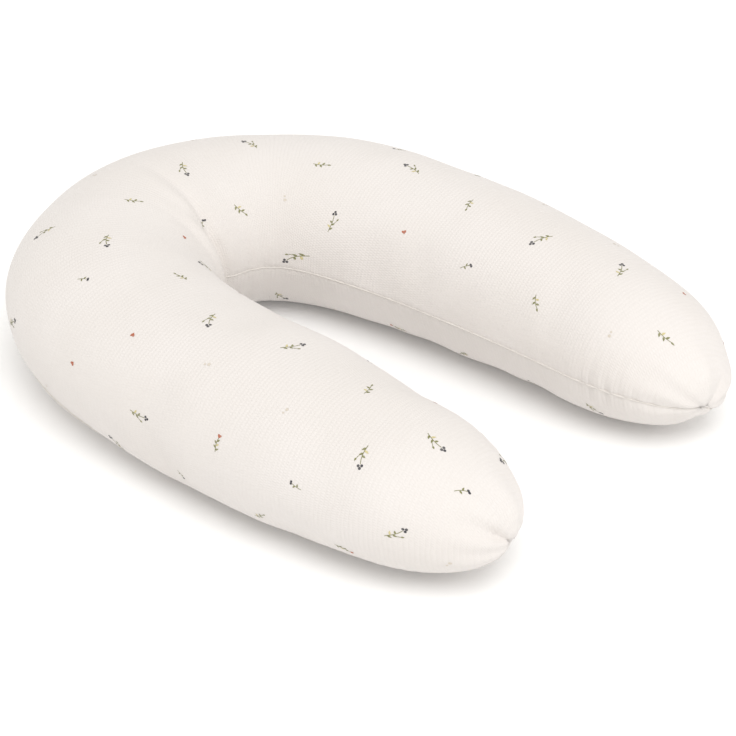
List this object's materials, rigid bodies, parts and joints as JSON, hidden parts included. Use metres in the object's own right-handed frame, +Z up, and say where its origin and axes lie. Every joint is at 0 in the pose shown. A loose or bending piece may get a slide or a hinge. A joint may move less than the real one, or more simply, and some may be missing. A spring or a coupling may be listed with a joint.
{
  "type": "nursing pillow",
  "caption": "U-shaped stuffed nursing pillow with two tapering arms, a seamed and zipped fabric cover over a filled inner casing.",
  "frame": {"origin": "middle of the outline, on the floor the pillow lies on", "axes": "+Y towards the bend of the U, so the two arms reach to -Y; +X to the right arm and -X to the left arm; +Z up"},
  "size_m": [0.5988, 0.7662, 0.1784],
  "materials": {
    "cover_knit": "soft crinkled waffle knit, off-white, with small printed sprigs",
    "casing_cotton": "plain woven cotton",
    "filling_fibre": "loose fibre",
    "zip_tape": "woven tape",
    "zip_nylon": "moulded nylon",
    "zip_metal": "satin plated metal",
    "label_cloth": "smooth woven ribbon"
  },
  "bodies": {
    "back": {"cover_top_back": "cover_knit", "cover_bottom_back": "cover_knit", "casing_top_back": "casing_cotton", "casing_bottom_back": "casing_cotton", "filling_back": "filling_fibre", "zip_tape_upper": "zip_tape", "zip_tape_lower": "zip_tape", "zip_coil_upper": "zip_nylon", "zip_coil_lower": "zip_nylon", "zip_stop_left": "zip_metal", "zip_stop_right": "zip_metal", "care_label": "label_cloth"},
    "left_arm": {"cover_top_left": "cover_knit", "cover_bottom_left": "cover_knit", "casing_top_left": "casing_cotton", "casing_bottom_left": "casing_cotton", "filling_left": "filling_fibre"},
    "right_arm": {"cover_top_right": "cover_knit", "cover_bottom_right": "cover_knit", "casing_top_right": "casing_cotton", "casing_bottom_right": "casing_cotton", "filling_right": "filling_fibre"},
    "zip_slider": {"zip_slider": "zip_metal"},
    "zip_pull": {"zip_pull": "zip_metal"}
  },
  "joints": [
    {"name": "left_arm_flex", "type": "hinge", "parent": "back", "child": "left_arm", "pos_m": [-0.17843, 0.08045, 0.08], "axis": [0, 0, -1], "range_deg": [-8, 15], "stiffness_Nm_per_rad": 4},
    {"name": "right_arm_flex", "type": "hinge", "parent": "back", "child": "right_arm", "pos_m": [0.17843, 0.08045, 0.08], "axis": [0, 0, 1], "range_deg": [-8, 15], "stiffness_Nm_per_rad": 4},
    {"name": "zip_travel", "type": "hinge", "parent": "back", "child": "zip_slider", "pos_m": [0, 0.09438, 0.039], "axis": [0, 0, 1], "range_deg": [0, 94]},
    {"name": "zip_pull_swing", "type": "hinge", "parent": "zip_slider", "child": "zip_pull", "pos_m": [0.20483, 0.28341, 0.03609], "axis": [-0.6782, 0.7349, 0], "range_deg": [-145, 30]}
  ]
}
